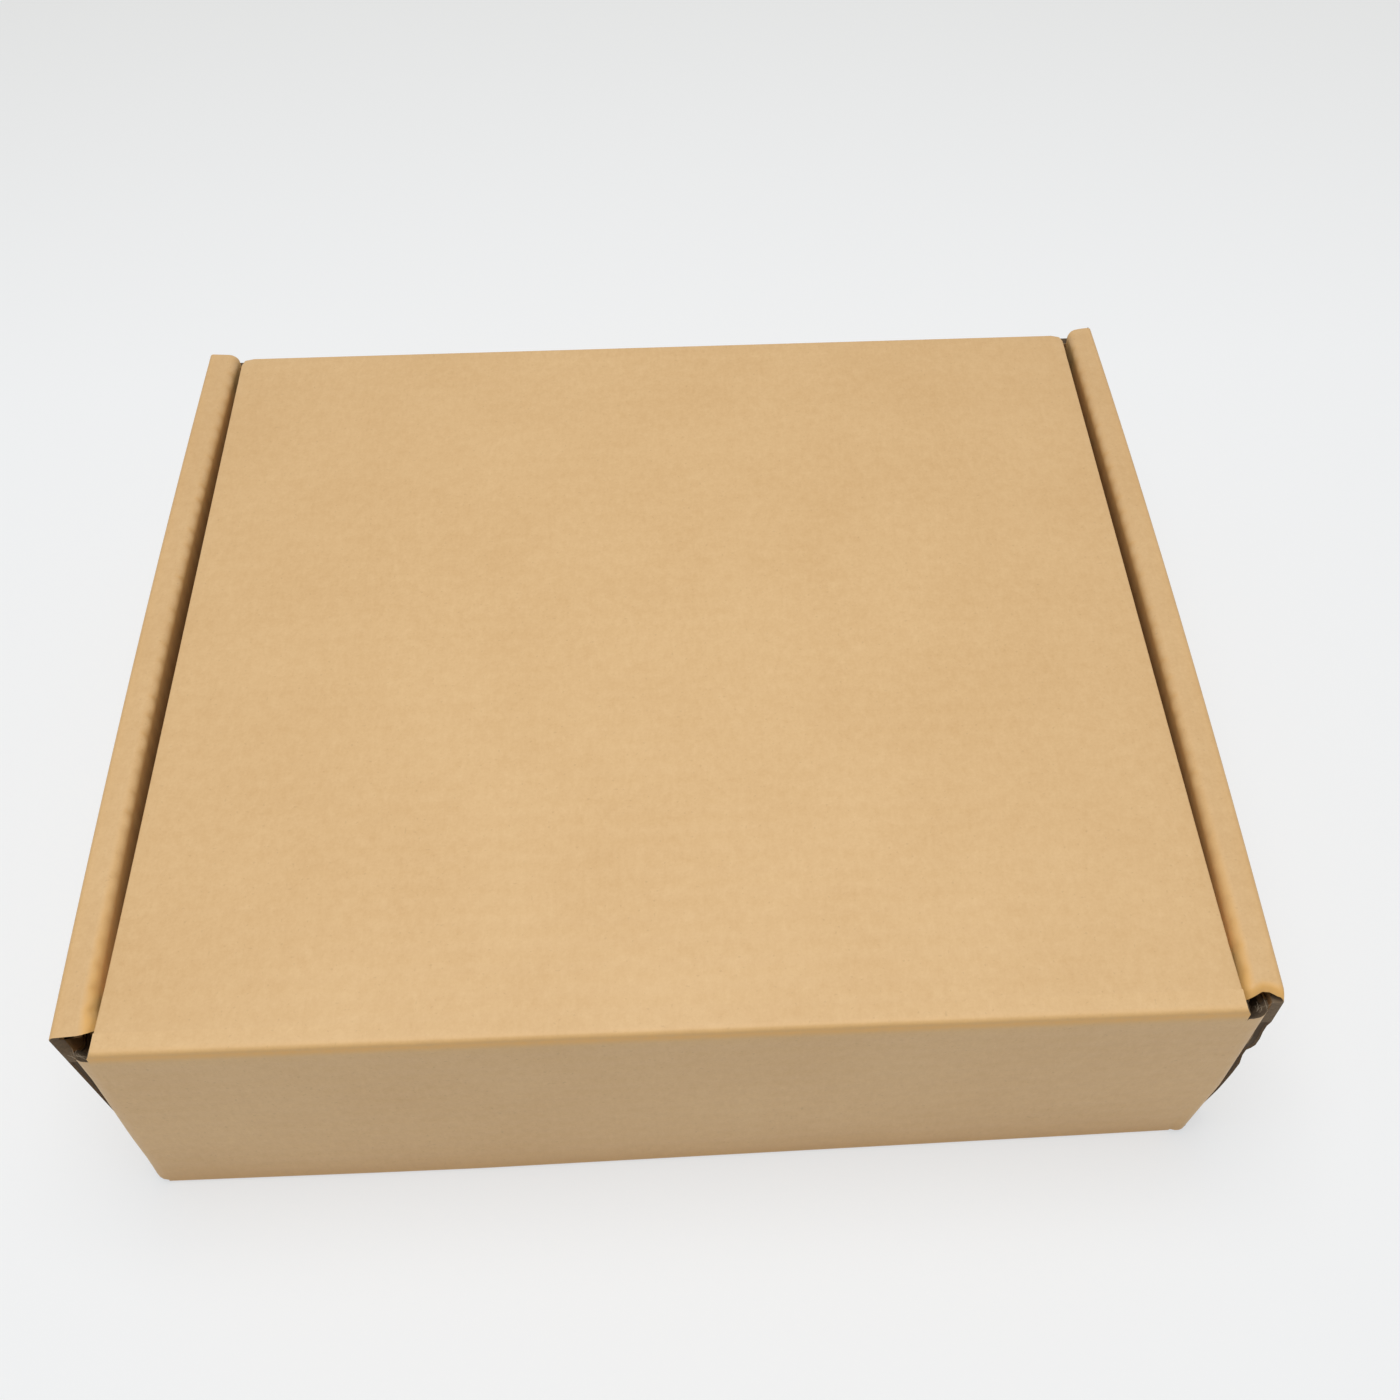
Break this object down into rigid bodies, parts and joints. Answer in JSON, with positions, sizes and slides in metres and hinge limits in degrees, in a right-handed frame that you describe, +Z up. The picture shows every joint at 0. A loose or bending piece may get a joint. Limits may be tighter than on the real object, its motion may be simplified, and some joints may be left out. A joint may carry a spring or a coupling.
{
  "type": "closed cardboard box",
  "caption": "Shallow mailing box folded from one sheet of corrugated board, with rolled side walls and a hinged lid whose flap tucks in, shown closed.",
  "frame": {"origin": "on the floor under the middle of the closed box", "axes": "+X along the hinge crease, +Y from the hinge wall to the opening wall, +Z up"},
  "size_m": [0.2924, 0.2486, 0.078],
  "materials": {
    "kraft_board": "matt uncoated kraft paper"
  },
  "bodies": {
    "tray": {"tray": "kraft_board"},
    "lid": {"lid": "kraft_board"}
  },
  "joints": [
    {"name": "lid_hinge", "type": "hinge", "parent": "tray", "child": "lid", "pos_m": [0, -0.12155, 0.0753], "axis": [1, 0, 0], "range_deg": [0, 180]}
  ]
}
